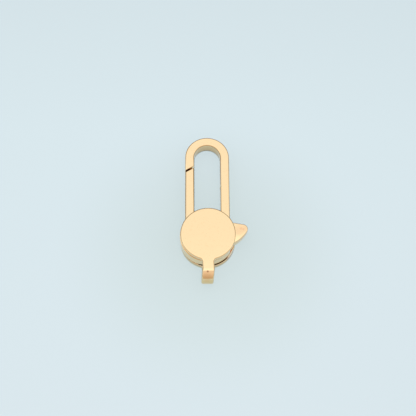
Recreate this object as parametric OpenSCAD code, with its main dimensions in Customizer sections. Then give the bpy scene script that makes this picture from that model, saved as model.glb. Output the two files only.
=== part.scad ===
// Lobster clasp: a folded case of two round plates and a bail, a cast hook held
// between them, and a sprung lever with a thumb tab that turns on a hidden pin.
// Millimetres. The origin is the centre of the case on its back face, +Y points
// to the top of the hook and +Z comes out of the front face.

/* [Case] */
// Radius of the round front and back plates
plate_r = 4.4; // [4.2:0.05:5]
// Thickness of each plate and of the strip that joins them
plate_t = 0.8; // [0.6:0.05:1]
// Rounding of the plates' edges
plate_edge = 0.18; // [0.05:0.01:0.22]
// Seam between each plate and what it covers
seam = 0.05; // [0.03:0.01:0.1]

/* [Bail] */
// Width of the strip
bail_w = 1.9; // [1.6:0.05:2.4]
// How far the fold stands out past the plates' rim
bail_out = 3.4; // [2.8:0.1:4]
// Radius of the fillets where the strip leaves the plates
bail_fillet = 0.45; // [0.3:0.05:0.6]
// Rounding of the strip's edges
bail_edge = 0.2; // [0.1:0.01:0.25]

/* [Hook] */
// Clear width inside the hook
hook_gap = 4.3; // [4:0.1:4.8]
// Width of the hook's bar, seen from the front
bar_w = 1.45; // [1.3:0.05:1.6]
// Thickness of the hook and of its root between the plates
core_t = 2; // [1.8:0.05:2.2]
// Rounding of the bar's edges
bar_edge = 0.2; // [0.05:0.01:0.25]
// From the centre of the case to the top of the hook
hook_reach = 17.5; // [16.5:0.1:19]
// Sideways offset of the hook's axis
hook_x = -0.1; // [-0.2:0.05:0.2]
// How much smaller the radius of the hook's root is than that of the plates
core_inset = 0.02; // [0:0.01:0.1]
// Sideways offset of the root's centre from the centre of the case
root_x = -0.15; // [-0.25:0.01:-0.1]
// Offset of the root's centre along the clasp
root_y = -0.08; // [-0.1:0.01:0]
// Floor that the root leaves behind the lever
web_t = 0.5; // [0.45:0.05:0.6]
// Height of the slot under the root through which the return spring is slipped in
slot_t = 0.3; // [0.15:0.05:0.35]
// Depth of the slot at its deep end, from the plates' rim
slot_depth = 0.7; // [0.4:0.1:1]

/* [Mouth] */
// From the arch's centre down to the slanting cut, on the gate's centre line
mouth_drop = 2.2; // [1.4:0.05:3]
// Slope of the cut, rising towards the inside of the hook
mouth_slope = 31; // [28:1:38]
// Width of the cut, square to its faces
mouth_gap = 0.28; // [0.1:0.02:0.4]

/* [Lever] */
// Width of the gate, seen from the front
gate_w = 1.45; // [1.2:0.05:1.5]
// Radius of the lever's hub
hub_r = 1.4; // [1.2:0.05:1.6]
// Room between the root's floor and the lever's hub
lever_gap = 0.1; // [0.05:0.01:0.2]
// How far the thumb tab stands out past the plates' rim
tab_out = 1.95; // [1.6:0.05:2.6]
// Width of the thumb tab where it leaves the case
tab_w = 3.45; // [3:0.05:3.8]
// Room between the foot of the hook's leg and the thumb tab
tab_drop = 0.35; // [0.2:0.05:0.5]
// How far the middle of the tab's tip lies below the tab's upper corner
tab_fall = 1.05; // [0.8:0.05:1.4]
// Rounding of the thumb tab's tip
tab_tip_r = 0.75; // [0.5:0.05:0.9]
// Turn of the lever from closed to open
open_angle = 18; // [14:1:20]
// Room round the lever inside the case
swing_gap = 0.1; // [0.08:0.01:0.15]

/* [Pin] */
// Radius of the pin
pin_r = 0.6; // [0.5:0.05:0.7]
// Running clearance of the lever on the pin
pin_run = 0.03; // [0.02:0.01:0.05]
// Clearance of the pin in its seats
pin_seat = 0.015; // [0.01:0.005:0.03]
// Depth of the blind seats in the plates
pin_depth = 0.4; // [0.3:0.05:0.5]

/* [Hidden] */

round_fn = 96;
arc_steps = 10;
gold = [0.93, 0.79, 0.55];
pale_gold = [0.96, 0.84, 0.62];
warm_gold = [0.88, 0.72, 0.47];
steel = [0.72, 0.72, 0.74];

// Heights of the layers, from the back face
core_z = plate_t + seam;
core_top = core_z + core_t;
total_t = core_top + seam + plate_t;
web_top = core_z + web_t;
lever_z = web_top + lever_gap;
lever_t = core_top - lever_z;

// Plan of the hook
arch_r = (hook_gap + bar_w) / 2;
arch_y = hook_reach - hook_gap / 2 - bar_w;
mouth_y = arch_y - mouth_drop;
leg_x = hook_x + arch_r;
gate_x = hook_x - arch_r;
gate_out = gate_x - gate_w / 2;
gate_in = gate_x + gate_w / 2;
core_r = plate_r - core_inset;

// Where the gate and the leg end under the plates' rim
gate_bury = 0.35;
leg_bury = 0.12;
gate_foot = sqrt(pow(plate_r, 2) - pow(gate_out, 2)) - gate_bury;
leg_foot = sqrt(pow(plate_r, 2) - pow(leg_x + bar_w / 2, 2)) - leg_bury;

// The crank that joins the gate to the hub, by angles round the hub
crank_low_a = 190;
crank_high_a = 75;
crank_lap = 0.8;

// The tab's root on the hub, by angles round the hub, and where it leaves the case
tab_high_a = 62;
tab_low_a = -75;
tab_top_y = leg_foot - tab_drop;
tab_low_y = tab_top_y - tab_w;
tab_top = [sqrt(pow(plate_r, 2) - pow(tab_top_y, 2)), tab_top_y];
tab_low = [sqrt(pow(plate_r, 2) - pow(tab_low_y, 2)), tab_low_y];
tab_tip = [plate_r + tab_out - tab_tip_r, tab_top_y - tab_fall];
// The tip's arc, from the slope of the upper edge round to the slope of the lower one
tab_arc_from = 78;
tab_arc_to = -42;
// The lower edge bows out by this share of its length
tab_belly = 0.06;

// The spring slot runs from its deep end to where it meets the rim, by angles round the pin
slot_deep_a = 250;
slot_end_a = 318;

// The fold of the bail
bend_r = total_t / 2;
bend_y = bend_r - plate_r - bail_out;
bail_lap = 1.5;

// Past every face that is cut
over = 1;
far = plate_r + 2;
// Turns the pocket's corners clear of the lever's own
pocket_slack = 5;

function polar(r, a) = [r * cos(a), r * sin(a)];
function turned(p, a) = [p[0] * cos(a) - p[1] * sin(a), p[0] * sin(a) + p[1] * cos(a)];
function arc(c, r, from, to) = [
    for (i = [0 : arc_steps]) c + polar(r, from + (to - from) * i / arc_steps)
];
// A shallow bow from a to b that stands off its chord by the given share of it
function bow(a, b, share) = [
    for (i = [1 : arc_steps - 1])
        let (s = i / arc_steps, d = b - a)
            a + s * d + 4 * s * (1 - s) * share * [-d[1], d[0]]
];

// Section of a bar with rounded edges, centred
module bar_section(w, t, edge) {
    square([w - 2 * edge, t], center = true);
    square([w, t - 2 * edge], center = true);
    for (sx = [-1, 1], sy = [-1, 1])
        translate([sx * (w / 2 - edge), sy * (t / 2 - edge)])
            circle(r = edge, $fn = 32);
}

// Straight bar from y0 down to y1 along -Y, its middle at height z
module bar_y(x, z, y0, y1, w, t, edge) {
    translate([x, y0, z])
        rotate([90, 0, 0])
            linear_extrude(height = y0 - y1)
                bar_section(w, t, edge);
}

// Round plate with rounded rim, its back face at height z
module plate(z) {
    rim = plate_r - plate_edge;
    translate([0, 0, z])
        rotate_extrude($fn = round_fn) {
            square([rim, plate_t]);
            translate([0, plate_edge])
                square([plate_r, plate_t - 2 * plate_edge]);
            for (y = [plate_edge, plate_t - plate_edge])
                translate([rim, y])
                    circle(r = plate_edge, $fn = 32);
        }
}

// Fillet between the rim of a plate and one side of the strip
module bail_gusset(z) {
    seat = plate_r - plate_edge / 2;
    cx = bail_w / 2 + bail_fillet;
    cy = -sqrt(pow(seat + bail_fillet, 2) - pow(cx, 2));
    from = atan2(-cy, -cx);
    translate([0, 0, z + plate_edge])
        linear_extrude(height = plate_t - 2 * plate_edge)
            polygon(concat(
                arc([cx, cy], bail_fillet, from, 180),
                [[bail_w / 2 - plate_edge, cy], [bail_w / 2 - plate_edge, cy + 2 * bail_fillet]]
            ));
}

// The half turn that folds the strip from the front plate to the back one
module bail_bend() {
    translate([0, bend_y, bend_r])
        rotate([0, -90, 180])
            rotate_extrude(angle = 180, $fn = round_fn)
                translate([bend_r - plate_t / 2, 0])
                    bar_section(plate_t, bail_w, bail_edge);
}

module case() {
    color(pale_gold)
        difference() {
            union() {
                for (z = [0, total_t - plate_t]) {
                    plate(z);
                    bar_y(0, z + plate_t / 2, bail_lap - plate_r, bend_y, bail_w, plate_t, bail_edge);
                    for (side = [0, 1])
                        mirror([side, 0, 0])
                            bail_gusset(z);
                }
                bail_bend();
            }
            translate([0, 0, plate_t - pin_depth])
                cylinder(r = pin_r + pin_seat, h = total_t - 2 * (plate_t - pin_depth), $fn = round_fn);
        }
}

// What a face of the mouth's cut takes away: all above the gate, side 1, or below the stub, side -1
module beyond_mouth(side) {
    reach = 4 * bar_w;
    translate([gate_x, mouth_y, total_t / 2])
        rotate([0, 0, mouth_slope])
            translate([0, side * (reach - mouth_gap) / 2, 0])
                cube([reach, reach, total_t + 2 * over], center = true);
}

// Where the gate's foot swings, through the whole thickness of the root
module gate_window() {
    foot = gate_foot - swing_gap;
    polygon([
        [gate_out - swing_gap, foot],
        [gate_in + swing_gap, foot],
        turned([gate_in + swing_gap, foot], -open_angle),
        turned([gate_in + swing_gap, far], -open_angle),
        [gate_out - swing_gap, far]
    ]);
}

// Where the crank turns, above the web
module crank_pocket() {
    foot = gate_foot - swing_gap;
    polygon([
        [0, 0],
        turned(polar(hub_r, crank_high_a - 2 * pocket_slack), -open_angle),
        turned([gate_in + swing_gap, gate_foot + crank_lap], -open_angle),
        turned([gate_in + swing_gap, far], -open_angle),
        [gate_out - swing_gap, far],
        [gate_out - swing_gap, foot],
        polar(hub_r, crank_low_a + 2 * pocket_slack)
    ]);
}

// Where the tab's root turns, above the web
module tab_pocket() {
    polygon([
        [0, 0],
        turned(polar(hub_r, tab_low_a - 2 * pocket_slack), -open_angle),
        turned([far, tab_low_y - swing_gap], -open_angle),
        [far, tab_top_y + 2 * swing_gap],
        tab_top + [0, 2 * swing_gap],
        polar(hub_r, tab_high_a + pocket_slack)
    ]);
}

// Outline of the root, a little to one side of the plates' own centre
module root_outline() {
    translate([root_x, root_y])
        circle(r = core_r, $fn = round_fn);
}

// Where the return spring is slipped in, under the root
module spring_slot() {
    polygon([
        polar(far, slot_deep_a),
        polar(plate_r - slot_depth, slot_deep_a),
        polar(plate_r, slot_end_a),
        polar(far, slot_end_a)
    ]);
}

// The hook's root: a slotted floor under the lever, and the wall that stands round it
module root() {
    translate([0, 0, core_z])
        linear_extrude(height = slot_t)
            difference() {
                root_outline();
                gate_window();
                spring_slot();
            }
    translate([0, 0, core_z + slot_t])
        linear_extrude(height = web_t - slot_t)
            difference() {
                root_outline();
                gate_window();
            }
    translate([0, 0, web_top])
        linear_extrude(height = core_t - web_t)
            difference() {
                root_outline();
                circle(r = hub_r + swing_gap, $fn = round_fn);
                crank_pocket();
                tab_pocket();
            }
}

module hook() {
    mid = core_z + core_t / 2;
    color(gold)
        difference() {
            union() {
                root();
                bar_y(leg_x, mid, arch_y, leg_foot, bar_w, core_t, bar_edge);
                translate([hook_x, arch_y, mid])
                    rotate_extrude(angle = 180, $fn = round_fn)
                        translate([arch_r, 0])
                            bar_section(bar_w, core_t, bar_edge);
                difference() {
                    bar_y(gate_x, mid, arch_y, mouth_y - bar_w, bar_w, core_t, bar_edge);
                    beyond_mouth(-1);
                }
            }
            translate([0, 0, core_z - over])
                cylinder(r = pin_r + pin_seat, h = core_t + 2 * over, $fn = round_fn);
        }
}

// Plan of the hub, the crank and the thumb tab
module lever_plan() {
    circle(r = hub_r, $fn = round_fn);
    polygon([
        [0, 0],
        polar(hub_r, crank_high_a),
        [gate_in, gate_foot + crank_lap],
        [gate_out, gate_foot + gate_bury / 2],
        [gate_out, gate_foot],
        polar(hub_r, crank_low_a)
    ]);
    polygon(concat(
        [[0, 0], polar(hub_r, tab_low_a), tab_low],
        bow(tab_low, tab_tip + polar(tab_tip_r, tab_arc_to), -tab_belly),
        arc(tab_tip, tab_tip_r, tab_arc_to, tab_arc_from),
        [tab_top, polar(hub_r, tab_high_a)]
    ));
}

module lever() {
    color(warm_gold)
        difference() {
            union() {
                translate([0, 0, lever_z])
                    linear_extrude(height = lever_t)
                        lever_plan();
                difference() {
                    bar_y(gate_x, core_z + core_t / 2, mouth_y + gate_w, gate_foot,
                        gate_w, core_t, bar_edge);
                    beyond_mouth(1);
                }
            }
            translate([0, 0, lever_z - over])
                cylinder(r = pin_r + pin_run, h = lever_t + 2 * over, $fn = round_fn);
        }
}

module pivot_pin() {
    color(steel)
        translate([0, 0, plate_t - pin_depth + pin_seat])
            cylinder(r = pin_r, h = total_t - 2 * (plate_t - pin_depth + pin_seat), $fn = round_fn);
}

case();
hook();
lever();
pivot_pin();
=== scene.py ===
"""Looks of a lobster clasp: a folded round case, a cast hook and a sprung lever in bright gold plate.

Every part is drawn in millimetres in the clasp's own frame, where the back face lies on the ground at
height nought, +Y runs from the case's centre to the top of the hook and +X points to the thumb tab. A part
is brought to metres once, when it is finished.
"""

import logging
import math
from collections.abc import Sequence
from dataclasses import dataclass, replace
from enum import Enum
from typing import Any

import bmesh
import bpy
from bpy.types import ID, Material, Node, NodeSocket, NodeTree, Object
from mathutils import Matrix, Vector


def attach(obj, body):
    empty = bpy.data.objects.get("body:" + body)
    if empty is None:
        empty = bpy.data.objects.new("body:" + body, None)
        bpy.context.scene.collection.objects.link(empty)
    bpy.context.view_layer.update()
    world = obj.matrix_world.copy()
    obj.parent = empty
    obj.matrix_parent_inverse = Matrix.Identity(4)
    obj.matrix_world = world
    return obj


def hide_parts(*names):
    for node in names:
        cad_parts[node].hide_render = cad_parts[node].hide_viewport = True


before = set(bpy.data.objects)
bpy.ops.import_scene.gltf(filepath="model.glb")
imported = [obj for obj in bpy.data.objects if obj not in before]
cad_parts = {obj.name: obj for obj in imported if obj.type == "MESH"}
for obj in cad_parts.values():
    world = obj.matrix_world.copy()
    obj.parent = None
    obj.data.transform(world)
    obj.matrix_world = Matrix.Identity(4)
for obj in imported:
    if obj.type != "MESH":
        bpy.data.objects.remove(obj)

LOG = logging.getLogger("lobster_clasp")
MM = 0.001

Point = tuple[float, float, float]
Span = tuple[float, float]
Plan = list[Vector]
Colour = tuple[float, float, float]
Inputs = dict[str | int, Any]


class Joinery(Enum):
    """How a tool solid acts on the solid that it is worked into."""

    WELD = "UNION"
    CUT = "DIFFERENCE"


class Lay(Enum):
    """Direction of the polishing strokes, as the stretch of their pattern along X, Y and Z."""

    LENGTHWISE = (9.0, 0.7, 9.0)
    CROSSWISE = (0.7, 9.0, 9.0)


class Change(Enum):
    """How a value changes from one end of its span to the other."""

    EVEN = "LINEAR"
    SOFT = "SMOOTHSTEP"


def polar(radius: float, degrees: float) -> Vector:
    """Gives the plan point at this radius and angle from the pin's axis."""
    turn = math.radians(degrees)
    return Vector((radius * math.cos(turn), radius * math.sin(turn)))


def arc(centre: Vector, radius: float, start: float, end: float, steps: int) -> Plan:
    """Lays points along an arc of a plan, both ends included.

    Args:
        centre: Centre of the arc.
        radius: Radius of the arc.
        start: Angle of the first point, in degrees.
        end: Angle of the last point, in degrees.
        steps: Number of equal steps between them.

    Returns:
        The points in order.
    """
    return [centre + polar(radius, start + (end - start) * i / steps) for i in range(steps + 1)]


def circle(centre: Vector, radius: float, steps: int) -> Plan:
    """Lays this many points round a whole circle of a plan."""
    return arc(centre, radius, 0, 360, steps)[:-1]


def inset(plan: Plan, depth: float) -> Plan:
    """Draws a closed anticlockwise plan again, this far inside its edge.

    Args:
        plan: Corners of the plan.
        depth: Distance to move each side inwards.

    Returns:
        As many corners, in the same order.
    """
    corners = []
    for i, here in enumerate(plan):
        before = (here - plan[i - 1]).normalized()
        after = (plan[(i + 1) % len(plan)] - here).normalized()
        inward = Vector((-before.y - after.y, before.x + after.x))
        corners.append(here + inward * (depth / (1 + before.dot(after))))
    return corners


def round_edge(first: int, steps: int) -> list[tuple[int, float, float]]:
    """Walks round the two rounded edges of a flat piece, from one broad face to the other.

    Args:
        first: Side that it starts on, 1 for the upper and -1 for the lower.
        steps: Number of steps round each edge.

    Returns:
        The side, and how far inside the outline and off the face it is, as shares of the edge's radius.
    """
    turns = [math.pi / 2 * i / steps for i in range(steps + 1)]
    walk = [(first, turn) for turn in turns] + [(-first, turn) for turn in reversed(turns)]
    return [(side, 1 - math.sin(turn), 1 - math.cos(turn)) for side, turn in walk]


def walls(rings: int, count: int) -> list[tuple[int, ...]]:
    """Joins rings of points, each to the next.

    Args:
        rings: Number of rings.
        count: Number of points in each.

    Returns:
        The corners of each four-sided face.
    """
    faces = []
    for low in range(0, (rings - 1) * count, count):
        for i in range(count):
            j = (i + 1) % count
            faces.append((low + i, low + j, low + count + j, low + count + i))
    return faces


def linked(name: str, data: ID) -> Object:
    """Makes an object that shows this data and links it to the scene."""
    made = bpy.data.objects.new(name, data)
    bpy.context.scene.collection.objects.link(made)
    return made


def solid(name: str, points: Sequence[Sequence[float]], faces: Sequence[Sequence[int]]) -> Object:
    """Makes one closed shell with its faces turned outwards.

    Args:
        name: Name of the object and its mesh.
        points: Corners in millimetres.
        faces: Corners of each face.

    Returns:
        The new object, linked to the scene.
    """
    mesh = bpy.data.meshes.new(name)
    mesh.from_pydata(points, [], faces)
    shell = bmesh.new()
    shell.from_mesh(mesh)
    bmesh.ops.recalc_face_normals(shell, faces=shell.faces)
    shell.to_mesh(mesh)
    shell.free()
    return linked(name, mesh)


def stack(name: str, rings: Sequence[Sequence[Sequence[float]]]) -> Object:
    """Makes a solid from rings of equally many points, each joined to the next and both ends filled.

    Args:
        name: Name of the object.
        rings: The rings from one end to the other.

    Returns:
        The new object.
    """
    count = len(rings[0])
    points = [tuple(point) for ring in rings for point in ring]
    ends = [tuple(range(count)), tuple(range(len(points) - count, len(points)))]
    return solid(name, points, ends + walls(len(rings), count))


def prism(name: str, plan: Plan, low: float, high: float) -> Object:
    """Stands a sharp-edged prism on a plan, between two heights."""
    return stack(name, [[(p.x, p.y, z) for p in plan] for z in (low, high)])


def drum(name: str, radius: float, low: float, high: float, steps: int = 96) -> Object:
    """Stands a round prism on the pin's axis, between two heights."""
    return prism(name, circle(Vector((0, 0)), radius, steps), low, high)


def settle(part: Object) -> Object:
    """Turns a part and its live modifiers into one plain mesh under the part's own name.

    Args:
        part: The part.

    Returns:
        The same part.
    """
    graph = bpy.context.evaluated_depsgraph_get()
    made = bpy.data.meshes.new_from_object(
        part.evaluated_get(graph), preserve_all_data_layers=True, depsgraph=graph
    )
    part.modifiers.clear()
    drawn, part.data = part.data, made
    bpy.data.meshes.remove(drawn)
    made.name = part.name
    return part


def work(part: Object, tool: Object, how: Joinery) -> Object:
    """Welds a tool solid to a part or cuts it away, and puts the tool out of the scene.

    Args:
        part: The solid that is worked.
        tool: The solid that is joined or taken away.
        how: Which of the two.

    Returns:
        The worked part.
    """
    step = part.modifiers.new(how.name.lower(), "BOOLEAN")
    step.operation = how.value
    step.solver = "EXACT"
    step.object = tool
    settle(part)
    bpy.data.meshes.remove(tool.data)
    return part


def polish(part: Object, crease: float = 32.0) -> Object:
    """Brings a finished part to metres and gives its broad faces and rounded edges clean normals.

    Args:
        part: The part in millimetres.
        crease: Angle in degrees from which an edge stays sharp.

    Returns:
        The same part.
    """
    part.data.transform(Matrix.Scale(MM, 4))
    for face in part.data.polygons:
        face.use_smooth = True
    part.data.set_sharp_from_angle(angle=math.radians(crease))
    step = part.modifiers.new("normals", "WEIGHTED_NORMAL")
    step.keep_sharp = True
    step.weight = 100
    return settle(part)


def hand_over(part: Object, finish: Material, slot: str, body: str, *nodes: str) -> str:
    """Dresses a finished part, hangs it under its body and hides the CAD nodes that it stands for.

    Args:
        part: The part in metres.
        finish: Its material.
        slot: Not used.
        body: The body that it moves with.
        *nodes: The CAD nodes that it stands for.

    Returns:
        The part's name.
    """
    part.data.materials.clear()
    part.data.materials.append(finish)
    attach(part, body)
    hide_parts(*nodes)
    return part.name


class Nodes:
    """The nodes of one tree, each added, set up and joined to the ones before it."""

    def __init__(self, tree: NodeTree) -> None:
        """Takes the tree."""
        self.tree = tree

    def give(self, node: Node, inputs: Inputs) -> None:
        """Gives a node's inputs their values or joins them to other nodes.

        Args:
            node: The node.
            inputs: Value, or socket to join, of each input by name or number.
        """
        for key, value in inputs.items():
            if isinstance(value, NodeSocket):
                self.tree.links.new(value, node.inputs[key])
            else:
                node.inputs[key].default_value = value

    def add(self, kind: str, inputs: Inputs | None = None, **settings: Any) -> Node:
        """Adds a node and sets it up.

        Args:
            kind: The node's type name.
            inputs: Value, or socket to join, of each input by name or number.
            **settings: Properties of the node.

        Returns:
            The new node.
        """
        node = self.tree.nodes.new(kind)
        for name, value in settings.items():
            setattr(node, name, value)
        self.give(node, inputs or {})
        return node

    def first(self, kind: str, inputs: Inputs | None = None, **settings: Any) -> NodeSocket:
        """Adds a node in the same way and gives its first output."""
        return self.add(kind, inputs, **settings).outputs[0]

    def maths(self, how: str, *terms: NodeSocket | float) -> NodeSocket:
        """Works on numbers and sockets, in the order of the terms."""
        return self.first("ShaderNodeMath", dict(enumerate(terms)), operation=how)

    def ramp(
        self, value: NodeSocket, ends: Span, results: Span = (0.0, 1.0), change: Change = Change.EVEN
    ) -> NodeSocket:
        """Carries a value over to another range, and holds it there past both ends.

        Args:
            value: The value.
            ends: The values at which the change starts and ends.
            results: What they become.
            change: How the result changes between them.

        Returns:
            The result.
        """
        names = ("Value", "From Min", "From Max", "To Min", "To Max")
        inputs = dict(zip(names, (value, *ends, *results)))
        return self.first("ShaderNodeMapRange", inputs, interpolation_type=change.value)

    def blended(self, share: NodeSocket, body: NodeSocket | Colour, tone: Colour) -> NodeSocket:
        """Blends a tone over a colour.

        Args:
            share: How much of the tone shows.
            body: The colour under it.
            tone: The tone.

        Returns:
            The blended colour.
        """
        under = body if isinstance(body, NodeSocket) else (*body, 1.0)
        mix = self.add("ShaderNodeMix", {"Factor": share, "A": under, "B": (*tone, 1.0)}, data_type="RGBA")
        return mix.outputs["Result"]

    def stretched(self, place: NodeSocket, by: Point) -> NodeSocket:
        """Stretches the place on a piece along X, Y and Z."""
        return self.first("ShaderNodeMapping", {"Vector": place, "Scale": by})

    def away(self, place: NodeSocket, centre: Sequence[float]) -> NodeSocket:
        """Measures how far a place on a piece is from a point."""
        return self.add("ShaderNodeVectorMath", {0: place, 1: centre}, operation="DISTANCE").outputs["Value"]

    def relief(
        self, height: NodeSocket, depth: float, strength: float = 1.0, under: NodeSocket | None = None
    ) -> NodeSocket:
        """Raises a pattern on a surface.

        Args:
            height: The pattern.
            depth: Its depth in millimetres.
            strength: How much of it shows.
            under: Normal of the relief under it, if there is one.

        Returns:
            The normal.
        """
        inputs = {"Height": height, "Strength": strength, "Distance": depth * MM}
        if under is not None:
            inputs["Normal"] = under
        return self.first("ShaderNodeBump", inputs)


class FinishNodes(Nodes):
    """The nodes of a new material, which start from the place on the piece."""

    def __init__(self, name: str, colour: Colour) -> None:
        """Begins the material.

        Args:
            name: Name of the material.
            colour: Its colour in a plain view.
        """
        self.material = bpy.data.materials.new(name)
        self.material.use_nodes = True
        self.material.diffuse_color = (*colour, 1.0)
        super().__init__(self.material.node_tree)
        self.place = self.add("ShaderNodeTexCoord").outputs["Object"]

    def done(self, inputs: Inputs) -> Material:
        """Gives the shader its inputs and hands out the material."""
        self.give(self.tree.nodes["Principled BSDF"], inputs)
        return self.material


@dataclass(frozen=True)
class Grain:
    """A cloudy pattern: its scale, how deep its detail goes and how rough that detail is."""

    scale: float
    detail: float
    roughness: float = 0.5

    def laid(self, nodes: Nodes, place: NodeSocket) -> NodeSocket:
        """Lays the pattern over a piece.

        Args:
            nodes: Nodes of the finish.
            place: Place on the piece, stretched as the pattern needs.

        Returns:
            The pattern's value.
        """
        inputs = {"Vector": place, "Scale": self.scale, "Detail": self.detail, "Roughness": self.roughness}
        return nodes.add("ShaderNodeTexNoise", inputs).outputs["Fac"]


@dataclass(frozen=True)
class Patch:
    """A toned spot of the plate, round a point in millimetres, that fades out past its core: painted shade
    and painted reflections on the case and the hook, and a warmer tone on the thumb tab.
    """

    at: Point
    reach: float
    share: float
    tone: Colour
    core: float = 0.35

    def laid(self, nodes: Nodes, place: NodeSocket, body: NodeSocket) -> NodeSocket:
        """Lays the patch over the plate.

        Args:
            nodes: Nodes of the finish.
            place: Place on the piece, in millimetres.
            body: Colour so far.

        Returns:
            The colour with the patch.
        """
        ends = (self.reach, self.core * self.reach)
        share = nodes.ramp(nodes.away(place, self.at), ends, (0.0, self.share), Change.SOFT)
        return nodes.blended(share, body, self.tone)


@dataclass(frozen=True)
class BrightGold:
    """Bright gold plate over polished brass: faint strokes, soft waves, a painted dark reflection on the
    upper rims and painted shade in the crevices.
    """

    name: str
    lay: Lay
    patches: tuple[Patch, ...] = ()
    colour: Colour = (0.90, 0.688, 0.41)
    deep: Colour = (0.86, 0.60, 0.33)
    specks: Grain = Grain(2.6, 3.0, 0.65)
    speck_ends: Span = (0.56, 0.72)
    speck_share: float = 0.34
    # Painted dark reflection on the rounded rims round the upper faces
    rim_shade: Colour = (0.50, 0.31, 0.145)
    rim_reach: float = 0.2
    rim_samples: int = 8
    rim_tilts: tuple[tuple[str, Span], ...] = (
        ("Z", (0.99, 0.90)),
        ("Z", (0.40, 0.72)),
        ("Y", (-0.30, 0.30)),
    )
    # Painted shade in the seams, the slot and the mouth's cut, by ambient occlusion
    crevice_shade: Colour = (0.62, 0.28, 0.05)
    crevice_reach: float = 0.7
    crevice_samples: int = 12
    crevice_ends: Span = (0.42, 0.22)
    crevice_share: float = 0.92
    # Painted shade on everything below a height, darker and greyer
    low_shade: Colour = (0.65, 0.56, 0.38)
    shade_below: float = 0.0
    shade_fade: float = 0.08
    shade_share: float = 0.9
    roughness: float = 0.07
    rougher: Span = (0.7, 1.5)
    strokes: Grain = Grain(1.6, 3.0, 0.6)
    stroke_ends: Span = (0.3, 0.7)
    stroke_depth: float = 0.0006
    stroke_share: float = 0.35
    waves: Grain = Grain(0.42, 2.0)
    wave_depth: float = 0.010

    def material(self) -> Material:
        """Builds the finish.

        Returns:
            The material, driven by the piece's own coordinates in millimetres.
        """
        nodes = FinishNodes(self.name, self.colour)
        true_size = nodes.stretched(nodes.place, (1 / MM,) * 3)
        strokes = self.strokes.laid(nodes, nodes.stretched(true_size, self.lay.value))
        specks = nodes.ramp(self.specks.laid(nodes, true_size), self.speck_ends, (0.0, self.speck_share))
        shade = nodes.blended(specks, self.colour, self.deep)
        # Painted shade below the given height
        if self.shade_below:
            height = nodes.add("ShaderNodeSeparateXYZ", {0: true_size}).outputs["Z"]
            ends = (self.shade_below, self.shade_below - self.shade_fade)
            shade = nodes.blended(nodes.ramp(height, ends, (0.0, self.shade_share)), shade, self.low_shade)
        for patch in self.patches:
            shade = patch.laid(nodes, true_size, shade)
        gloss = tuple(self.roughness * share for share in self.rougher)
        waves = nodes.relief(self.waves.laid(nodes, true_size), self.wave_depth)
        return nodes.done(
            {
                "Metallic": 1.0,
                "Base Color": self._shaded_crevices(nodes, self._shaded_rims(nodes, shade)),
                "Roughness": nodes.ramp(strokes, self.stroke_ends, gloss),
                "Normal": nodes.relief(strokes, self.stroke_depth, self.stroke_share, waves),
            }
        )

    def _shaded_rims(self, nodes: Nodes, body: NodeSocket) -> NodeSocket:
        """Paints a dark reflection on the rounded rims round the upper faces, fading out on the rims that
        face the bail.

        Args:
            nodes: Nodes of the finish.
            body: Colour of the broad faces.

        Returns:
            The colour with the painted dark reflection on its rims.
        """
        radius = {"Radius": self.rim_reach * MM}
        own = nodes.first(
            "ShaderNodeVectorTransform",
            {"Vector": nodes.first("ShaderNodeBevel", radius, samples=self.rim_samples)},
            vector_type="NORMAL",
            convert_from="WORLD",
            convert_to="OBJECT",
        )
        facing = nodes.add("ShaderNodeSeparateXYZ", {0: own}).outputs
        share, *more = (nodes.ramp(facing[axis], ends, change=Change.SOFT) for axis, ends in self.rim_tilts)
        for other in more:
            share = nodes.maths("MULTIPLY", share, other)
        return nodes.blended(share, body, self.rim_shade)

    def _shaded_crevices(self, nodes: Nodes, body: NodeSocket) -> NodeSocket:
        """Paints shade into the seams, the slot and the mouth's cut, browning them where they are most
        hemmed in.

        Args:
            nodes: Nodes of the finish.
            body: Colour so far.

        Returns:
            The colour with the painted shade in its crevices.
        """
        reach = {"Distance": self.crevice_reach * MM}
        bare = nodes.add("ShaderNodeAmbientOcclusion", reach, samples=self.crevice_samples).outputs["AO"]
        share = nodes.ramp(bare, self.crevice_ends, (0.0, self.crevice_share))
        return nodes.blended(share, body, self.crevice_shade)


@dataclass(frozen=True)
class TurnedSteel:
    """Plain turned steel, its tool marks running round the pin."""

    name: str = "turned_steel"
    colour: Colour = (0.47, 0.47, 0.49)
    darker: float = 0.8
    marks: Grain = Grain(1.0, 4.0)
    mark_stretch: Point = (0.4, 0.4, 24.0)
    mark_depth: float = 0.002
    roughness: float = 0.28
    rougher: Span = (0.8, 1.3)

    def material(self) -> Material:
        """Builds the finish.

        Returns:
            The material, with rings across the pin's length.
        """
        nodes = FinishNodes(self.name, self.colour)
        stretch = tuple(share / MM for share in self.mark_stretch)
        marks = self.marks.laid(nodes, nodes.stretched(nodes.place, stretch))
        dark = tuple(self.darker * tone for tone in self.colour)
        gloss = tuple(self.roughness * share for share in self.rougher)
        return nodes.done(
            {
                "Metallic": 1.0,
                "Base Color": nodes.blended(marks, self.colour, dark),
                "Roughness": nodes.ramp(marks, (0.0, 1.0), gloss),
                "Normal": nodes.relief(marks, self.mark_depth),
            }
        )


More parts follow.
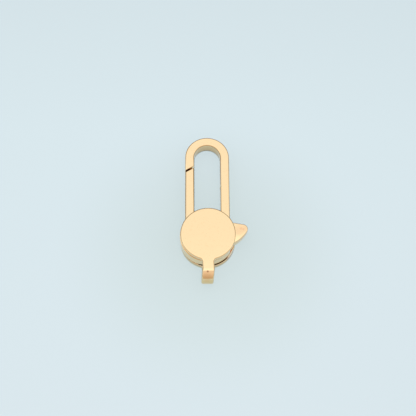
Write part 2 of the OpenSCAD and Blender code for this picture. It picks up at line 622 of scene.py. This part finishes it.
@dataclass(frozen=True)
class PaleBoard:
    """Matt pale board under the clasp, bluer farther off, with a painted shadow that greys it round the
    clasp and painted shade that dims it in front.
    """

    name: str = "pale_board"
    # Painted shadow round the clasp
    near: Colour = (0.130, 0.153, 0.157)
    far: Colour = (0.144, 0.170, 0.181)
    # Painted shade towards the front
    front: Colour = (0.1355, 0.1575, 0.168)
    middle: Point = (0.5, -2.5, 0.0)
    near_reach: float = 5.0
    far_reach: float = 27.0
    back_y: float = 20.0
    front_y: float = -27.5
    roughness: float = 0.9

    def material(self) -> Material:
        """Builds the finish.

        Returns:
            The material, shaded by the place on the board.
        """
        nodes = FinishNodes(self.name, self.far)
        forward = nodes.add("ShaderNodeSeparateXYZ", {0: nodes.place}).outputs["Y"]
        # Painted shade, dimmer towards the front
        dim = nodes.ramp(forward, (self.back_y * MM, self.front_y * MM))
        off = nodes.away(nodes.place, Vector(self.middle) * MM)
        # Painted shadow, greyer round the clasp
        share = nodes.ramp(off, (self.far_reach * MM, self.near_reach * MM), change=Change.SOFT)
        shade = nodes.blended(share, nodes.blended(dim, self.far, self.front), self.near)
        return nodes.done({"Base Color": shade, "Roughness": self.roughness, "Specular IOR Level": 0.0})


@dataclass(frozen=True)
class Layers:
    """Stock and running gaps of the clasp, in millimetres, and the heights that follow from them."""

    plate_radius: float = 4.4
    plate: float = 0.8
    seam: float = 0.05
    core: float = 2.0
    web: float = 0.5
    lever_gap: float = 0.1
    hub_radius: float = 1.4
    swing_gap: float = 0.1
    open_angle: float = 18.0
    pin_radius: float = 0.6
    pin_seat: float = 0.015
    pin_run: float = 0.03
    tool_over: float = 1.0

    @property
    def core_low(self) -> float:
        """Underside of the hook."""
        return self.plate + self.seam

    @property
    def core_mid(self) -> float:
        """Middle of the hook's thickness."""
        return self.core_low + self.core / 2

    @property
    def core_high(self) -> float:
        """Top face of the hook."""
        return self.core_low + self.core

    @property
    def total(self) -> float:
        """Thickness of the whole clasp."""
        return self.core_high + self.seam + self.plate

    @property
    def web_high(self) -> float:
        """Top of the floor that the hook's root leaves behind the lever."""
        return self.core_low + self.web

    @property
    def lever_low(self) -> float:
        """Underside of the lever's hub and tab."""
        return self.web_high + self.lever_gap

    @property
    def tool_span(self) -> Span:
        """Heights between which a tool cuts right through the hook or the lever."""
        return (self.core_low - self.tool_over, self.core_high + self.tool_over)

    @property
    def tool_reach(self) -> float:
        """Distance from the axis at which a tool is well past the rim."""
        return self.plate_radius + 2 * self.tool_over

    def rim_y(self, x: float) -> float:
        """Gives the height above the centre at which the plates' rim crosses this X."""
        return math.sqrt(self.plate_radius**2 - x**2)

    def opened(self, point: Vector) -> Vector:
        """Turns a plan point about the pin's axis, as the lever turns when it opens the mouth."""
        return Matrix.Rotation(math.radians(-self.open_angle), 2) @ point

    def bored(self, part: Object, room: float) -> Object:
        """Bores a part right through for the pin, with this room round it."""
        return work(part, drum("bore", self.pin_radius + room, *self.tool_span), Joinery.CUT)


@dataclass(frozen=True)
class Mouth:
    """The bar with its slanting cut, and how leg, gate and crank stand in the root, in millimetres."""

    layers: Layers
    hook_x: float = -0.1
    gap: float = 4.3
    bar: float = 1.45
    bar_edge: float = 0.2
    reach: float = 17.5
    gate: float = 1.45
    drop: float = 2.2
    slope: float = 31.0
    width: float = 0.28
    leg_bury: float = 0.12
    gate_bury: float = 0.35
    crank_low: float = 190.0
    crank_high: float = 75.0
    crank_lap: float = 0.8
    slack: float = 5.0

    @property
    def arch_radius(self) -> float:
        """Radius of the arch's centre line."""
        return (self.gap + self.bar) / 2

    @property
    def arch_y(self) -> float:
        """Height of the arch's centre."""
        return self.reach - self.gap / 2 - self.bar

    @property
    def gate_x(self) -> float:
        """Centre line of the gate and the stub."""
        return self.hook_x - self.arch_radius

    @property
    def gate_sides(self) -> Span:
        """Outer and inner side of the gate."""
        return (self.gate_x - self.gate / 2, self.gate_x + self.gate / 2)

    @property
    def gate_room(self) -> Span:
        """Outer and inner side of the room that the shut gate needs."""
        return (self.gate_sides[0] - self.layers.swing_gap, self.gate_sides[1] + self.layers.swing_gap)

    @property
    def gate_foot(self) -> float:
        """Height at which the gate ends, inside the case."""
        return self.layers.rim_y(self.gate_sides[0]) - self.gate_bury

    @property
    def leg_x(self) -> float:
        """Centre line of the fixed leg."""
        return self.hook_x + self.arch_radius

    @property
    def leg_foot(self) -> float:
        """Height at which the leg ends, inside the case."""
        return self.layers.rim_y(self.leg_x + self.bar / 2) - self.leg_bury

    def end_y(self, side: int) -> float:
        """Gives where the stub's end, side 1, or the gate's end, side -1, crosses their centre line."""
        return self.arch_y - self.drop + side * self.width / 2 / math.cos(math.radians(self.slope))


class BarSweep(Nodes):
    """Geometry Nodes that sweep a bar of rounded section along a path, its first end cut on a slant."""

    end_ease: float = 0.09
    end_steps: int = 4
    edge_steps: int = 6

    def __init__(self) -> None:
        """Builds the tree."""
        super().__init__(bpy.data.node_groups.new("bar_sweep", "GeometryNodeTree"))
        sockets = self.tree.interface
        sockets.new_socket("Path", in_out="INPUT", socket_type="NodeSocketGeometry")
        for name in ("Width", "Thickness", "Edge radius", "Slant", "Slant centre"):
            sockets.new_socket(name, in_out="INPUT", socket_type="NodeSocketFloat")
        sockets.new_socket("Edge steps", in_out="INPUT", socket_type="NodeSocketInt")
        sockets.new_socket("Finish", in_out="INPUT", socket_type="NodeSocketMaterial")
        sockets.new_socket("Bar", in_out="OUTPUT", socket_type="NodeSocketGeometry")
        self._fill()

    def _fill(self) -> None:
        """Adds the nodes: the path, the section, the sweep, the slant and the finish."""
        given = self.add("NodeGroupInput").outputs
        line = self.first("GeometryNodeMeshToCurve", {"Mesh": given["Path"]})
        upright = self.first("GeometryNodeSetCurveNormal", {"Curve": line}, mode="Z_UP")
        size = {"Width": given["Width"], "Height": given["Thickness"]}
        section = self.first("GeometryNodeCurvePrimitiveQuadrilateral", size)
        edges = {"Curve": section, "Count": given["Edge steps"], "Radius": given["Edge radius"]}
        rounded = self.first("GeometryNodeFilletCurve", edges, mode="POLY")
        swell, cut = (
            self.first("GeometryNodeInputNamedAttribute", {"Name": name}, data_type="FLOAT")
            for name in ("swell", "cut")
        )
        sweep = {"Curve": upright, "Profile Curve": rounded, "Scale": swell, "Fill Caps": True}
        bar = self.first("GeometryNodeCurveToMesh", sweep)
        where = self.add("ShaderNodeSeparateXYZ", {0: self.first("GeometryNodeInputPosition")}).outputs
        off = self.maths("SUBTRACT", where["X"], given["Slant centre"])
        rise = self.maths("MULTIPLY", self.maths("MULTIPLY", off, given["Slant"]), cut)
        shift = self.first("ShaderNodeCombineXYZ", {"Y": rise})
        slanted = self.first("GeometryNodeSetPosition", {"Geometry": bar, "Offset": shift})
        smooth = self.first("GeometryNodeSetShadeSmooth", {"Geometry": slanted})
        real = self.first("GeometryNodeRealizeInstances", {"Geometry": smooth})
        dressed = self.first("GeometryNodeSetMaterial", {"Geometry": real, "Material": given["Finish"]})
        self.add("NodeGroupOutput", {"Bar": dressed})

    def bar(self, name: str, path: Sequence[Point], width: float, mouth: Mouth, finish: Material) -> Object:
        """Sweeps one bar.

        Args:
            name: Name of the object.
            path: Centre line of the bar, starting at its slanted end.
            width: Width in the plan.
            mouth: The mouth, for the bar's thickness, its edges and the slope of its first end.
            finish: Material of the bar.

        Returns:
            The bar as a plain mesh.
        """
        start = Vector(path[0])
        along = (Vector(path[1]) - start).normalized()
        turns = [math.pi / 2 * i / self.end_steps for i in range(self.end_steps + 1)]
        eased = [tuple(start + along * self.end_ease * (1 - math.cos(turn))) for turn in turns]
        narrow = [1 - 2 * self.end_ease * (1 - math.sin(turn)) / width for turn in turns]
        points, rest = eased + list(path[1:]), len(path) - 1
        marks = {"swell": narrow + [1.0] * rest, "cut": [1.0] * len(eased) + [0.0] * rest}
        mesh = bpy.data.meshes.new(name)
        mesh.from_pydata(points, [(i, i + 1) for i in range(len(points) - 1)], [])
        for label, values in marks.items():
            mesh.attributes.new(label, "FLOAT", "POINT").data.foreach_set("value", values)
        part = linked(name, mesh)
        step = part.modifiers.new("sweep", "NODES")
        step.node_group = self.tree
        sizes = {
            "Width": width,
            "Thickness": mouth.layers.core,
            "Edge radius": mouth.bar_edge,
            "Slant": math.tan(math.radians(mouth.slope)),
            "Slant centre": start.x,
            "Edge steps": self.edge_steps,
            "Finish": finish,
        }
        for item in self.tree.interface.items_tree:
            if item.in_out == "INPUT" and item.name in sizes:
                step[item.identifier] = sizes[item.name]
        settle(part)
        for label in marks:
            part.data.attributes.remove(part.data.attributes[label])
        return part


@dataclass(frozen=True)
class Station:
    """A point on the flat case's edge: its outward normal, edge radius and turn of the fold in degrees."""

    point: Vector
    normal: Vector
    edge: float
    fold: float = 0.0

    def mirrored(self) -> "Station":
        """Gives the same station on the other side of the case."""
        point, normal = (Vector((-v.x, v.y)) for v in (self.point, self.normal))
        return replace(self, point=point, normal=normal)


@dataclass
class FoldedCase:
    """The case: one strip with two round plates, folded over so that the fold makes the bail.

    The sheet is a hair thicker inwards than its stock, the fold leans, and the plates lie a little off the
    pin's axis, as bending leaves them.
    """

    layers: Layers
    plate_edge: float = 0.18
    strip: float = 1.9
    strip_edge: float = 0.24
    bail_out: float = 3.4
    fillet: float = 0.45
    pin_depth: float = 0.4
    lean: float = 0.15
    thicker: float = 0.03
    front_slip: Span = (-0.06, -0.07)
    back_slip: Span = (-0.03, -0.31)
    rim_steps: int = 150
    bend_steps: int = 12
    fold_steps: int = 40
    edge_steps: int = 6
    finish: BrightGold = BrightGold(
        "case_gold_plate",
        Lay.LENGTHWISE,
        (
            # Painted reflection of the camera as a dark spot at the top of the fold, and painted warmer,
            # darker reflections round its turn
            Patch((-0.15, -6.45, 3.63), 0.23, 0.85, (0.42, 0.22, 0.12)),
            Patch((-0.25, -7.15, 3.25), 0.9, 0.3, (0.72, 0.46, 0.26)),
            Patch((-0.1, -7.75, 1.6), 1.7, 0.5, (0.80, 0.58, 0.28)),
            Patch((-0.25, -7.58, 2.72), 0.6, 0.6, (0.90, 0.60, 0.32)),
            # Painted reflection of the pale board, greyer, on the back plate's ledge under the thumb tab
            Patch((3.15, -3.15, 0.8), 0.5, 0.9, (0.50, 0.45, 0.38)),
            Patch((3.65, -2.6, 0.8), 0.55, 0.9, (0.52, 0.49, 0.44)),
            Patch((4.05, -1.95, 0.8), 0.55, 0.9, (0.54, 0.52, 0.48)),
        ),
        # Painted shade on the back plate and the foot of the fold
        shade_below=0.92,
    )

    @property
    def fold_radius(self) -> float:
        """Outer radius of the fold."""
        return self.layers.total / 2

    @property
    def fold_y(self) -> float:
        """Height of the fold's axis."""
        return self.fold_radius - self.layers.plate_radius - self.bail_out

    @property
    def sheet(self) -> float:
        """Thickness of the sheet, which closes on the hook until only a hair's seam is left."""
        return self.layers.plate + self.thicker

    def _flat_side(self) -> list[Station]:
        """Draws one side of a plate and its strip in the flat.

        Returns:
            The stations from the plate's top round to the fold.
        """
        radius = self.layers.plate_radius
        centre = Vector((self.strip / 2 + self.fillet, 0.0))
        centre.y = -math.sqrt((radius + self.fillet) ** 2 - centre.x**2)
        low = math.degrees(math.atan2(centre.y, centre.x))
        rim = [90 + (low - 90) * i / self.rim_steps for i in range(self.rim_steps + 1)]
        side = [Station(polar(radius, turn), polar(1, turn), self.plate_edge) for turn in rim]
        for i in range(1, self.bend_steps + 1):
            share = i / self.bend_steps
            turn = 180 + low * (1 - share)
            edge = self.plate_edge + (self.strip_edge - self.plate_edge) * share
            side.append(Station(centre + polar(self.fillet, turn), -polar(1, turn), edge))
        side.append(Station(Vector((self.strip / 2, self.fold_y)), Vector((1, 0)), self.strip_edge))
        return side

    def _stations(self) -> list[Station]:
        """Walks once round the flat pattern.

        Returns:
            The stations from the front plate's top down its right side, over the fold and up the back, then
            down the left side and home.
        """
        front = self._flat_side()
        turn = [replace(front[-1], fold=180 * i / self.fold_steps) for i in range(1, self.fold_steps)]
        right = front + turn + [replace(station, fold=180.0) for station in reversed(front)]
        return right + [station.mirrored() for station in reversed(right[1:-1])]

    def _slip_share(self, y: float) -> float:
        """Gives the share of its slip that a plate takes at this height of the flat pattern.

        Args:
            y: The height.

        Returns:
            Nought at the top rim, 1 from the plate's middle to its foot, and nought again at the fold.
        """
        radius = self.layers.plate_radius
        rise = (radius - y) / radius if y > -radius else (y - self.fold_y) / (-radius - self.fold_y)
        return max(0.0, min(1.0, rise))

    def _place(self, station: Station, inward: float, height: float) -> Point:
        """Folds one point of the pattern.

        Args:
            station: The station that it belongs to.
            inward: Distance inside the pattern's edge, as a share of the edge radius.
            height: Height above the sheet's inner face.

        Returns:
            The point in the clasp's frame.
        """
        flat = station.point - station.normal * (station.edge * inward)
        if station.fold in (0.0, 180.0):
            front, share = station.fold == 0.0, self._slip_share(flat.y)
            slip = self.front_slip if front else self.back_slip
            z = self.layers.total - self.sheet + height if front else self.sheet - height
            return (flat.x + slip[0] * share, flat.y + slip[1] * share, z)
        radius, turn = self.fold_radius - self.sheet + height, math.radians(station.fold)
        out, up = math.sin(turn), math.cos(turn)
        return (flat.x - self.lean * out, self.fold_y - radius * out, self.fold_radius + radius * up)

    def _sheet(self) -> Object:
        """Makes the folded sheet, its edges rounded all the way round.

        Returns:
            The sheet.
        """
        stations, half = self._stations(), self.sheet / 2
        rings = [
            [self._place(s, inward, half + side * (half - s.edge * fall)) for s in stations]
            for side, inward, fall in round_edge(1, self.edge_steps)
        ]
        points = [point for ring in rings for point in ring]
        faces = walls(len(rings), len(stations))
        for low in (0, len(points) - len(stations)):
            faces += self._broad_faces(stations, low)
        return solid("folded_case", points, faces)

    def _broad_faces(self, stations: list[Station], low: int) -> list[tuple[int, ...]]:
        """Fills one broad side of the sheet: the front plate, the back plate and the fold's strips.

        Args:
            stations: The pattern's stations.
            low: Number of the first point of the ring that bounds this side.

        Returns:
            The faces.
        """
        count = len(stations)
        front, back = ([i for i, s in enumerate(stations) if s.fold == fold] for fold in (0.0, 180.0))
        faces = [tuple(low + i for i in front), tuple(low + i for i in back)]
        start = max(i for i in front if i < count // 2)
        for i in range(start, start + self.fold_steps):
            faces.append((low + i, low + i + 1, low + (count - i - 1) % count, low + (count - i) % count))
        return faces

    def build(self) -> list[str]:
        """Makes and hands over the case.

        Returns:
            Names of the pieces.
        """
        layers, case = self.layers, self._sheet()
        low, high = layers.plate - self.pin_depth, layers.total - layers.plate + self.pin_depth
        work(case, drum("pin_seat", layers.pin_radius + layers.pin_seat, low, high), Joinery.CUT)
        return [hand_over(polish(case), self.finish.material(), "case_gold", "body", "case")]


@dataclass
class CastHook:
    """The hook: a stub, an arch and a leg in one bar, on a round root that the plates hold."""

    mouth: Mouth
    sweep: BarSweep
    tab_pocket: Plan
    root_inset: float = 0.02
    root_x: float = -0.14
    root_y: float = -0.11
    slot: float = 0.34
    slot_depth: float = 0.7
    slot_deep: float = 250.0
    slot_end: float = 318.0
    nick_y: float = 8.65
    nick_radius: float = 0.2
    arch_steps: int = 96
    root_steps: int = 192
    nick_steps: int = 24
    finish: BrightGold = BrightGold(
        "hook_gold_plate",
        Lay.LENGTHWISE,
        (
            # Painted shade on the inner wall of the arch, and a painted paler reflection of the board on the
            # root's wall under the thumb tab
            Patch((-0.1, 13.9, 0.8), 3.4, 1.0, (0.46, 0.30, 0.15)),
            Patch((3.7, -2.2, 2.0), 0.75, 0.9, (0.80, 0.80, 0.74)),
        ),
    )

    def _centre_line(self) -> list[Point]:
        """Lays the bar's path.

        Returns:
            The points from the stub's end over the arch and down the leg.
        """
        mouth, mid = self.mouth, self.mouth.layers.core_mid
        crown = arc(Vector((mouth.hook_x, mouth.arch_y)), mouth.arch_radius, 180, 0, self.arch_steps)
        path = [(mouth.gate_x, mouth.end_y(1)), *crown, (mouth.leg_x, mouth.leg_foot)]
        return [(x, y, mid) for x, y in path]

    def _gate_window(self) -> Plan:
        """Draws the window in the root in which the gate's foot swings.

        Returns:
            The plan, anticlockwise.
        """
        layers, mouth = self.mouth.layers, self.mouth
        out, inner = mouth.gate_room
        foot, far = mouth.gate_foot - layers.swing_gap, layers.tool_reach
        return [
            Vector((out, far)),
            Vector((out, foot)),
            Vector((inner, foot)),
            layers.opened(Vector((inner, foot))),
            layers.opened(Vector((inner, far))),
        ]

    def _crank_pocket(self) -> Plan:
        """Draws the pocket above the web in which the crank turns.

        Returns:
            The plan, anticlockwise.
        """
        layers, mouth = self.mouth.layers, self.mouth
        out, inner = mouth.gate_room
        foot, far = mouth.gate_foot, layers.tool_reach
        return [
            Vector((0, 0)),
            layers.opened(polar(layers.hub_radius, mouth.crank_high - 2 * mouth.slack)),
            layers.opened(Vector((inner, foot + mouth.crank_lap))),
            layers.opened(Vector((inner, far))),
            Vector((out, far)),
            Vector((out, foot - layers.swing_gap)),
            polar(layers.hub_radius, mouth.crank_low + 2 * mouth.slack),
        ]

    def _spring_slot(self) -> Plan:
        """Draws the slot under the root through which the return spring is slipped in.

        Returns:
            The plan, anticlockwise.
        """
        radius, far = self.mouth.layers.plate_radius, self.mouth.layers.tool_reach
        return [
            polar(far, self.slot_deep),
            polar(radius - self.slot_depth, self.slot_deep),
            polar(radius, self.slot_end),
            polar(far, self.slot_end),
        ]

    def _root(self) -> Object:
        """Makes the round root with its floor, its wall and the room for the lever.

        Returns:
            The root.
        """
        layers, centre = self.mouth.layers, Vector((self.root_x, self.root_y))
        low, high = layers.tool_span
        outline = circle(centre, layers.plate_radius - self.root_inset, self.root_steps)
        root = prism("root", outline, layers.core_low, layers.core_high)
        for tool in (
            prism("window", self._gate_window(), low, high),
            prism("slot", self._spring_slot(), low, layers.core_low + self.slot),
            drum("hub_room", layers.hub_radius + layers.swing_gap, layers.web_high, high),
            prism("crank_room", self._crank_pocket(), layers.web_high, high),
            prism("tab_room", self.tab_pocket, layers.web_high, high),
        ):
            work(root, tool, Joinery.CUT)
        return root

    def build(self) -> list[str]:
        """Makes and hands over the hook.

        Returns:
            Names of the pieces.
        """
        mouth, layers = self.mouth, self.mouth.layers
        finish = self.finish.material()
        hook = self.sweep.bar("cast_hook", self._centre_line(), mouth.bar, mouth, finish)
        work(hook, self._root(), Joinery.WELD)
        layers.bored(hook, layers.pin_seat)
        inner = Vector((mouth.leg_x - mouth.bar / 2 - self.nick_radius / 4, self.nick_y))
        outline = circle(inner, self.nick_radius, self.nick_steps)
        work(hook, prism("nick", outline, *layers.tool_span), Joinery.CUT)
        return [hand_over(polish(hook), finish, "hook_gold", "body", "hook")]


@dataclass
class ThumbLever:
    """The lever: a hub on the pin, a crank up to the gate and a thumb tab past the rim."""

    mouth: Mouth
    sweep: BarSweep
    tab_out: float = 1.95
    tab_width: float = 3.45
    tab_drop: float = 0.35
    tab_fall: float = 1.05
    tip_radius: float = 0.75
    tab_high: float = 62.0
    tab_low: float = -75.0
    tip_from: float = 78.0
    tip_to: float = -42.0
    tip_steps: int = 24
    belly: float = 0.06
    belly_steps: int = 12
    shoulder_steps: int = 4
    hub_steps: int = 32
    tab_edge: float = 0.09
    edge_steps: int = 4
    crown: float = 0.07
    crown_start: float = 0.3
    crown_cuts: int = 24
    finest: float = 1e-5
    finish: BrightGold = BrightGold(
        "lever_gold_plate",
        Lay.CROSSWISE,
        (
            # Warmer thumb tab with two reddish spots
            Patch((5.5, 0.8, 2.85), 1.9, 0.75, (0.86, 0.60, 0.35)),
            Patch((5.25, 1.15, 2.85), 0.3, 0.4, (0.80, 0.42, 0.24)),
            Patch((5.65, 1.07, 2.85), 0.26, 0.4, (0.80, 0.42, 0.24)),
        ),
    )

    def _tab_corner(self, drop: float) -> Vector:
        """Gives the point of the plates' rim this far under the tab's upper corner."""
        y = self.mouth.leg_foot - self.tab_drop - drop
        return Vector((math.sqrt(self.mouth.layers.plate_radius**2 - y**2), y))

    def tab_pocket(self) -> Plan:
        """Draws the room above the root's web in which the tab turns.

        Returns:
            The plan, anticlockwise.
        """
        layers, slack = self.mouth.layers, self.mouth.slack
        top, low = self._tab_corner(0), self._tab_corner(self.tab_width)
        lift, far = Vector((0, 2 * layers.swing_gap)), layers.tool_reach
        return [
            Vector((0, 0)),
            layers.opened(polar(layers.hub_radius, self.tab_low - 2 * slack)),
            layers.opened(Vector((far, low.y - layers.swing_gap))),
            Vector((far, top.y)) + lift,
            top + lift,
            polar(layers.hub_radius, self.tab_high + slack),
        ]

    def _plan(self) -> Plan:
        """Draws the hub, the crank and the tab as one outline.

        Returns:
            The plan, anticlockwise from the foot of the tab's lower edge.
        """
        mouth, layers = self.mouth, self.mouth.layers
        axis, hub = Vector((0, 0)), layers.hub_radius
        top, low = self._tab_corner(0), self._tab_corner(self.tab_width)
        tip = Vector((layers.plate_radius + self.tab_out - self.tip_radius, top.y - self.tab_fall))
        chord = tip + polar(self.tip_radius, self.tip_to) - low
        side = Vector((-chord.y, chord.x))
        shares = [i / self.belly_steps for i in range(1, self.belly_steps)]
        (out, inner), foot = mouth.gate_sides, mouth.gate_foot
        return [
            polar(hub, self.tab_low),
            low,
            *[low + chord * s - side * (4 * s * (1 - s) * self.belly) for s in shares],
            *arc(tip, self.tip_radius, self.tip_to, self.tip_from, self.tip_steps),
            top,
            *arc(axis, hub, self.tab_high, mouth.crank_high, self.shoulder_steps),
            Vector((inner, foot + mouth.crank_lap)),
            Vector((out, foot + mouth.gate_bury / 2)),
            Vector((out, foot)),
            *arc(axis, hub, mouth.crank_low, 360 + self.tab_low, self.hub_steps)[:-1],
        ]

    def _blade(self) -> Object:
        """Makes the hub, crank and tab in one, with eased edges and a tab that falls a little to its tip.

        Returns:
            The blade.
        """
        layers, plan = self.mouth.layers, self._plan()
        mid, half = (layers.lever_low + layers.core_high) / 2, (layers.core_high - layers.lever_low) / 2
        rings = []
        for side, inward, fall in round_edge(-1, self.edge_steps):
            z = mid + side * (half - self.tab_edge * fall)
            rings.append([(p.x, p.y, z) for p in inset(plan, self.tab_edge * inward)])
        blade = stack("blade", rings)
        rim, tip = layers.plate_radius - self.crown_start, layers.plate_radius + self.tab_out
        shell = bmesh.new()
        shell.from_mesh(blade.data)
        for i in range(self.crown_cuts):
            bmesh.ops.bisect_plane(
                shell,
                geom=[*shell.verts, *shell.edges, *shell.faces],
                dist=self.finest,
                plane_co=(rim + (tip - rim) * i / self.crown_cuts, 0, 0),
                plane_no=(1, 0, 0),
            )
        for corner in shell.verts:
            if corner.co.z > mid:
                share = max(0.0, (corner.co.x - rim) / (tip - rim))
                corner.co.z -= self.crown * share**2
        shell.to_mesh(blade.data)
        shell.free()
        return blade

    def build(self) -> list[str]:
        """Makes and hands over the lever.

        Returns:
            Names of the pieces.
        """
        mouth, layers = self.mouth, self.mouth.layers
        finish = self.finish.material()
        path = [(mouth.gate_x, y, layers.core_mid) for y in (mouth.end_y(-1), mouth.gate_foot)]
        lever = self.sweep.bar("thumb_lever", path, mouth.gate, mouth, finish)
        work(lever, self._blade(), Joinery.WELD)
        layers.bored(lever, layers.pin_run)
        return [hand_over(polish(lever), finish, "lever_gold", "lever", "lever")]


@dataclass
class PivotPin:
    """The plain pin between the plates, kept as the solid that it is."""

    finish: TurnedSteel = TurnedSteel()

    def build(self) -> list[str]:
        """Gives the pin its steel.

        Returns:
            Name of the node.
        """
        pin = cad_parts["pivot_pin"]
        pin.data.materials.clear()
        pin.data.materials.append(self.finish.material())
        return [pin.name]


@dataclass
class Studio:
    """The camera, the board, the soft lamp and the bright surround with its brown skirt."""

    azimuth: float = -4.04
    elevation: float = 66.26
    roll: float = 4.0
    target: Point = (-0.0318, 4.468, 3.4)
    distance: float = 160.9
    lens: float = 86.54
    near_clip: float = 0.01
    board: PaleBoard = PaleBoard()
    board_half: float = 600.0
    board_low: float = -0.004
    sky: tuple[tuple[float, Colour], ...] = (
        (-90.0, (0.66, 0.64, 0.58)),
        (-76.0, (0.66, 0.52, 0.40)),
        (-28.0, (0.94, 0.79, 0.70)),
        (-7.0, (0.93, 0.81, 0.77)),
        (0.0, (1.30, 1.32, 1.28)),
        (17.0, (1.30, 1.32, 1.28)),
        (22.0, (1.12, 1.12, 1.12)),
        (30.0, (1.12, 1.12, 1.12)),
        (37.0, (1.24, 1.22, 1.18)),
        (46.0, (0.80, 0.66, 0.50)),
        (56.0, (0.28, 0.20, 0.13)),
        (90.0, (0.16, 0.11, 0.07)),
    )
    skirt: Colour = (0.30, 0.23, 0.16)
    skirt_ends: Span = (0.5, 0.2)
    open_front: float = 1.5
    lamp_power: float = 15.6
    lamp_size: float = 0.045
    lamp_place: Point = (-16.0, -226.0, 553.0)

    def _camera(self) -> None:
        """Sets the camera at the photograph's angle."""
        turn, rise, roll = (math.radians(a) for a in (self.azimuth, self.elevation, self.roll))
        back = Vector((math.sin(turn) * math.cos(rise), -math.cos(turn) * math.cos(rise), math.sin(rise)))
        right = Vector((math.cos(turn), math.sin(turn), 0))
        up = back.cross(right)
        across = right * math.cos(roll) + up * math.sin(roll)
        over = up * math.cos(roll) - right * math.sin(roll)
        data = bpy.data.cameras.new("camera")
        data.lens = self.lens
        data.clip_start = self.near_clip
        camera = linked("camera", data)
        stand = (Vector(self.target) + back * self.distance) * MM
        camera.matrix_world = Matrix.Translation(stand) @ Matrix((across, over, back)).transposed().to_4x4()
        bpy.context.scene.camera = camera

    def _ground(self) -> None:
        """Lays the board under the clasp."""
        half, low = self.board_half, self.board_low
        corners = [(-half, -half, low), (half, -half, low), (half, half, low), (-half, half, low)]
        mesh = bpy.data.meshes.new("board")
        mesh.from_pydata([Vector(corner) * MM for corner in corners], [], [(0, 1, 2, 3)])
        mesh.materials.append(self.board.material())
        linked("board", mesh)

    def _surround(self) -> None:
        """Lights the scene with a sky in soft bands by tilt, over a brown skirt that is open in front."""
        world = bpy.data.worlds.new("studio")
        world.use_nodes = True
        bpy.context.scene.world = world
        nodes = Nodes(world.node_tree)
        way = nodes.add("ShaderNodeTexCoord").outputs["Generated"]
        parts = nodes.add("ShaderNodeSeparateXYZ", {0: way}).outputs
        tilt, right_angle = nodes.maths("ARCTAN2", parts["Y"], parts["Z"]), math.radians(90)
        bands = nodes.add("ShaderNodeValToRGB", {"Fac": nodes.ramp(tilt, (-right_angle, right_angle))})
        stops = bands.color_ramp.elements
        while len(stops) < len(self.sky):
            stops.new(0.5)
        for stop, (degrees, tone) in zip(stops, self.sky):
            stop.position = (degrees + 90) / 180
            stop.color = (*tone, 1.0)
        near = nodes.maths("MINIMUM", parts["Y"], 0.0)
        height = nodes.maths("MULTIPLY_ADD", near, -self.open_front, parts["Z"])
        low = nodes.ramp(height, self.skirt_ends, change=Change.SOFT)
        shown = nodes.blended(low, bands.outputs["Color"], self.skirt)
        nodes.give(nodes.tree.nodes["Background"], {"Color": shown})

    def _lamp(self) -> None:
        """Hangs one soft lamp by the camera, so that the clasp's shadow falls behind it."""
        data = bpy.data.lights.new("soft_lamp", "AREA")
        data.shape = "DISK"
        data.size = self.lamp_size
        data.energy = self.lamp_power
        lamp = linked("soft_lamp", data)
        lamp.visible_glossy = False
        lamp.location = Vector(self.lamp_place) * MM
        lamp.rotation_euler = lamp.location.to_track_quat("Z", "Y").to_euler()

    def build(self) -> None:
        """Sets up the whole studio."""
        self._camera()
        self._ground()
        self._surround()
        self._lamp()
        bpy.context.scene.view_settings.view_transform = "Standard"


def main() -> None:
    """Builds the studio and each sub-assembly in order."""
    logging.basicConfig(level=logging.INFO, format="%(name)s: %(message)s")
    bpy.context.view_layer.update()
    Studio().build()
    mouth, sweep = Mouth(Layers()), BarSweep()
    lever = ThumbLever(mouth, sweep)
    hook = CastHook(mouth, sweep, lever.tab_pocket())
    for assembly in (FoldedCase(mouth.layers), hook, lever, PivotPin()):
        for name in assembly.build():
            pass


if __name__ == "__main__":
    main()
